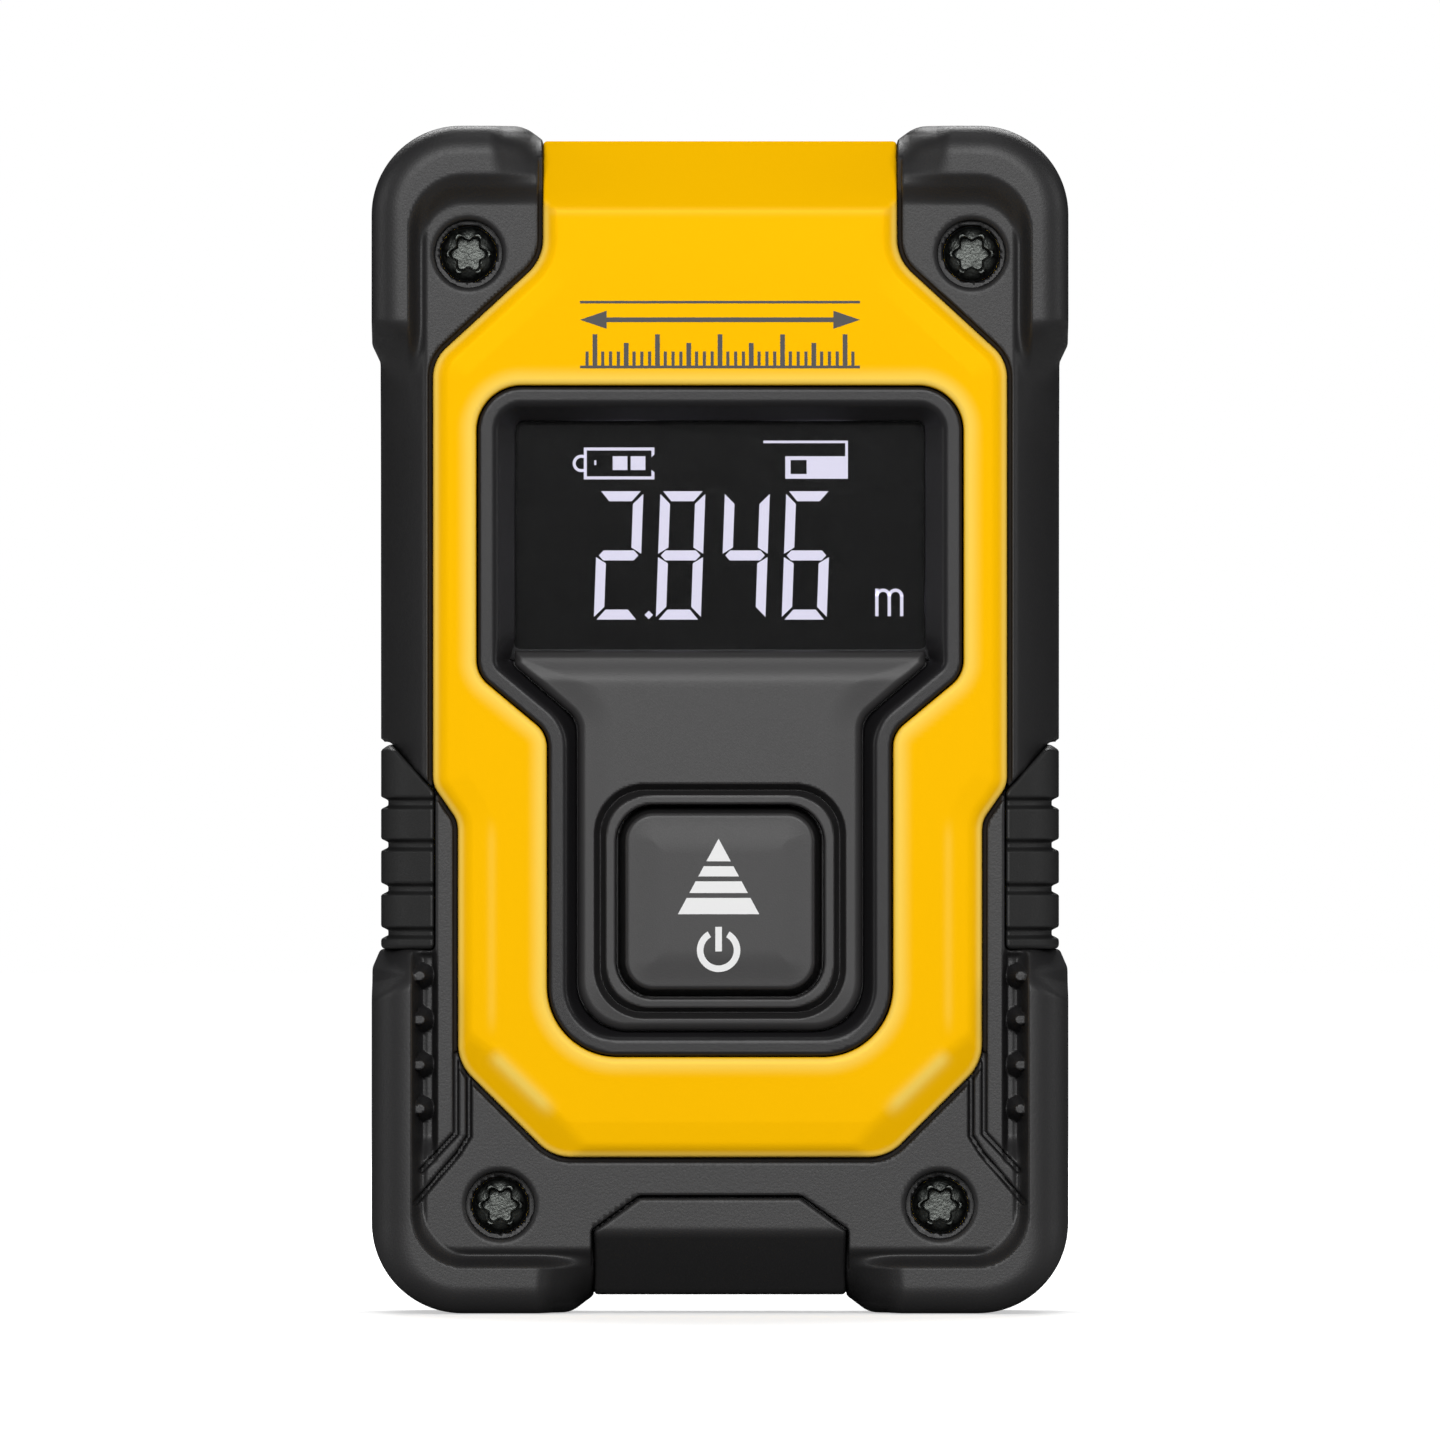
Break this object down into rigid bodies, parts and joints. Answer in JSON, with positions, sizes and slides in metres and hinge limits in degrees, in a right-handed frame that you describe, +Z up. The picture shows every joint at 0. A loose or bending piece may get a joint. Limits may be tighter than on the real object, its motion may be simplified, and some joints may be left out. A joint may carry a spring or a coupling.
{
  "type": "pocket laser distance meter",
  "caption": "Pocket laser distance meter with rubber-jacketed case, display, square measure button, optical window at the top end and hinged charging-port flap.",
  "frame": {"origin": "middle of the base plane, on the tips of the bottom bumpers, halfway through the thickness", "axes": "+Z up along the body towards the measuring end, -Y out of the display face, +X to the right seen from the front"},
  "size_m": [0.0446, 0.024, 0.076],
  "materials": {
    "yellow_abs": "satin yellow ABS",
    "black_abs": "satin black ABS",
    "black_rubber": "fine-textured moulded rubber",
    "grey_silicone": "smooth matt silicone",
    "clear_window": "smoked clear window",
    "lcd_glass": "dark display glass",
    "white_plastic": "white plastic",
    "green_board": "solder-masked board",
    "steel": "stamped steel",
    "black_oxide_steel": "black oxide steel",
    "brass": "turned brass",
    "chip_epoxy": "moulded black epoxy",
    "battery_foil": "satin pouch foil",
    "grey_foam": "closed-cell foam",
    "amber_flex": "polyimide film",
    "coated_lens": "coated optical glass",
    "red_wire": "wire insulation",
    "black_wire": "wire insulation",
    "blank_label": "blank film label"
  },
  "bodies": {
    "case": {"front_jacket": "black_rubber", "rear_jacket": "black_rubber", "left_grip": "black_rubber", "right_grip": "black_rubber", "front_housing": "yellow_abs", "rear_housing": "black_abs", "rear_label": "blank_label", "housing_seal": "grey_foam", "bezel": "black_abs", "keypad_panel": "grey_silicone", "display_window": "clear_window", "window_gasket": "grey_foam", "lcd_panel": "lcd_glass", "backlight_guide": "white_plastic", "lcd_frame": "white_plastic", "lcd_flex": "amber_flex", "main_pcb": "green_board", "tact_switch_body": "steel", "usb_socket": "steel", "usb_tongue": "chip_epoxy", "mcu_chip": "chip_epoxy", "charger_chip": "chip_epoxy", "crystal": "steel", "rf_shield": "steel", "buzzer": "chip_epoxy", "battery_connector": "white_plastic", "battery_cell": "battery_foil", "battery_foam": "grey_foam", "battery_lead_red": "red_wire", "battery_lead_black": "black_wire", "optics_chassis": "black_abs", "receiver_lens": "coated_lens", "laser_barrel": "brass", "laser_lens": "coated_lens", "laser_diode": "brass", "detector_board": "green_board", "detector_can": "steel", "receiver_filter": "coated_lens", "optical_window": "clear_window", "case_screw_1": "black_oxide_steel", "case_screw_2": "black_oxide_steel", "case_screw_3": "black_oxide_steel", "case_screw_4": "black_oxide_steel", "thread_insert_1": "brass", "thread_insert_2": "brass", "thread_insert_3": "brass", "thread_insert_4": "brass", "flap_anchor": "black_rubber"},
    "button": {"button_cap": "grey_silicone"},
    "switch_plunger": {"tact_switch_plunger": "chip_epoxy"},
    "port_flap": {"usb_flap": "black_rubber"}
  },
  "joints": [
    {"name": "button_press", "type": "slide", "parent": "case", "child": "button", "axis": [0, 1, 0], "range_m": [0, 0.0005], "stiffness_N_per_m": 3000},
    {"name": "switch_press", "type": "slide", "parent": "case", "child": "switch_plunger", "axis": [0, 1, 0], "range_m": [0, 0.00035]},
    {"name": "flap_open", "type": "hinge", "parent": "case", "child": "port_flap", "pos_m": [0, 0.00405, 0.00115], "axis": [1, 0, 0], "range_deg": [0, 100], "stiffness_Nm_per_rad": 0.002}
  ],
  "couplings": [
    {"joint": "switch_press", "follows": "button_press", "ratio": 0.7}
  ]
}
